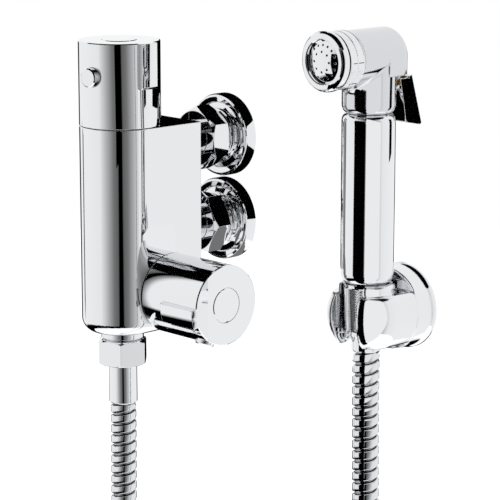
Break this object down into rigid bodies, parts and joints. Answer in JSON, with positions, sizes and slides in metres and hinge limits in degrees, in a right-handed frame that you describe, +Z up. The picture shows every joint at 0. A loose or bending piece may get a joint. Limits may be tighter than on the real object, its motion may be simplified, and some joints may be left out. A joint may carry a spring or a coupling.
{
  "type": "thermostatic bidet shower kit",
  "caption": "Wall-mounted thermostatic valve with temperature and flow controls, a ribbed metal hose and a trigger spray handset resting in its wall bracket.",
  "frame": {"origin": "on the wall plane, on the axis of the valve's upper inlet", "axes": "+Y into the wall along the inlets, +Z up, +X to the right along the wall as seen from the room"},
  "size_m": [0.175, 0.1124, 0.6125],
  "materials": {
    "chrome_on_brass": "polished chrome plate on brass",
    "chrome_on_steel": "polished chrome plate on pressed steel",
    "chrome_on_zinc": "polished chrome plate on die-cast zinc",
    "plain_brass": "turned",
    "steel": "zinc plated",
    "spring_steel": "drawn wire",
    "copper": "drawn",
    "engineering_plastic": "moulded",
    "ceramic": "lapped",
    "rubber": "moulded",
    "hose_steel": "wound polished stainless strip"
  },
  "bodies": {
    "root": {"valve_body": "chrome_on_brass", "upper_union_nut": "chrome_on_brass", "lower_union_nut": "chrome_on_brass", "upper_wall_connector": "plain_brass", "lower_wall_connector": "plain_brass", "upper_flange": "chrome_on_steel", "lower_flange": "chrome_on_steel", "union_washers": "rubber", "check_valves": "engineering_plastic", "inlet_filters": "steel", "cartridge_housing": "plain_brass", "cartridge_nut": "plain_brass", "stop_ring": "engineering_plastic", "return_spring": "spring_steel", "flow_headwork": "plain_brass", "flow_seat_seal": "rubber", "fixed_ceramic_disc": "ceramic", "outlet_spigot": "chrome_on_brass", "hose_hex_nut": "chrome_on_brass", "hose_valve_ferrule": "chrome_on_brass", "hose_valve_washer": "rubber", "hose": "hose_steel", "bracket_wall_plate": "steel", "bracket_cup": "chrome_on_zinc", "bracket_grub_screw": "steel"},
    "temperature_handle": {"temperature_handle": "chrome_on_brass", "temperature_cap": "chrome_on_brass", "temperature_handle_screw": "steel", "temperature_spindle": "plain_brass", "stop_button_spring": "spring_steel"},
    "stop_button": {"stop_button": "chrome_on_zinc"},
    "shuttle": {"shuttle": "engineering_plastic", "wax_element": "copper", "overload_pusher": "engineering_plastic", "overload_spring": "spring_steel"},
    "flow_knob": {"flow_knob": "chrome_on_brass", "flow_cap": "chrome_on_brass", "flow_knob_screw": "steel", "flow_spindle": "plain_brass", "turning_ceramic_disc": "ceramic", "flow_button_spring": "spring_steel"},
    "flow_button": {"flow_button": "chrome_on_zinc"},
    "hose_end": {"hose_handset_ferrule": "chrome_on_brass"},
    "handset": {"hose_cone_nut": "chrome_on_brass", "hose_handset_washer": "rubber", "handset_grip": "chrome_on_brass", "handset_head": "chrome_on_brass", "grip_o_ring": "rubber", "nozzle_ring": "chrome_on_brass", "spray_strainer": "engineering_plastic", "spray_gasket": "rubber", "spray_plate": "chrome_on_steel", "spray_bezel": "chrome_on_zinc", "plunger_sleeve": "plain_brass", "plunger_spring": "spring_steel", "trigger_pin": "chrome_on_steel"},
    "trigger": {"trigger_lever": "chrome_on_zinc"},
    "plunger": {"plunger": "plain_brass", "plunger_seal": "rubber"}
  },
  "joints": [
    {"name": "temperature_turn", "type": "hinge", "parent": "root", "child": "temperature_handle", "pos_m": [0, -0.076, 0.03], "axis": [0, 0, 1], "range_deg": [-150, 40]},
    {"name": "stop_button_press", "type": "slide", "parent": "temperature_handle", "child": "stop_button", "axis": [-0.1564, 0.9877, 0], "range_m": [0, 0.0018], "stiffness_N_per_m": 600, "springref_m": -0.001, "deforming": ["stop_button_spring"]},
    {"name": "shuttle_slide", "type": "slide", "parent": "root", "child": "shuttle", "axis": [0, 0, 1], "range_m": [-0.0019, 0.0005], "deforming": ["return_spring", "overload_spring"]},
    {"name": "flow_turn", "type": "hinge", "parent": "root", "child": "flow_knob", "pos_m": [0.04, -0.06, -0.075], "axis": [1, 0, 0], "range_deg": [0, 90]},
    {"name": "flow_button_press", "type": "slide", "parent": "flow_knob", "child": "flow_button", "axis": [0, 0.342, 0.9397], "range_m": [0, 0.0018], "stiffness_N_per_m": 600, "springref_m": -0.001, "deforming": ["flow_button_spring"]},
    {"name": "handset_lift", "type": "slide", "parent": "root", "child": "hose_end", "axis": [0, 0, 1], "range_m": [0, 0.06], "deforming": ["hose"]},
    {"name": "handset_swivel", "type": "hinge", "parent": "hose_end", "child": "handset", "pos_m": [0.131, -0.028, -0.07], "axis": [0, 0, 1], "range_deg": [-100, 100]},
    {"name": "trigger_squeeze", "type": "hinge", "parent": "handset", "child": "trigger", "pos_m": [0.131, -0.0155, 0.048], "axis": [-1, 0, 0], "range_deg": [0, 14], "stiffness_Nm_per_rad": 0.4, "springref_deg": -5.73},
    {"name": "plunger_slide", "type": "slide", "parent": "handset", "child": "plunger", "axis": [0, -1, 0], "range_m": [0, 0.0024], "deforming": ["plunger_spring"]}
  ],
  "couplings": [
    {"joint": "shuttle_slide", "follows": "temperature_turn", "m_per_rad": 0.0007},
    {"joint": "plunger_slide", "follows": "trigger_squeeze", "m_per_rad": 0.0096}
  ]
}
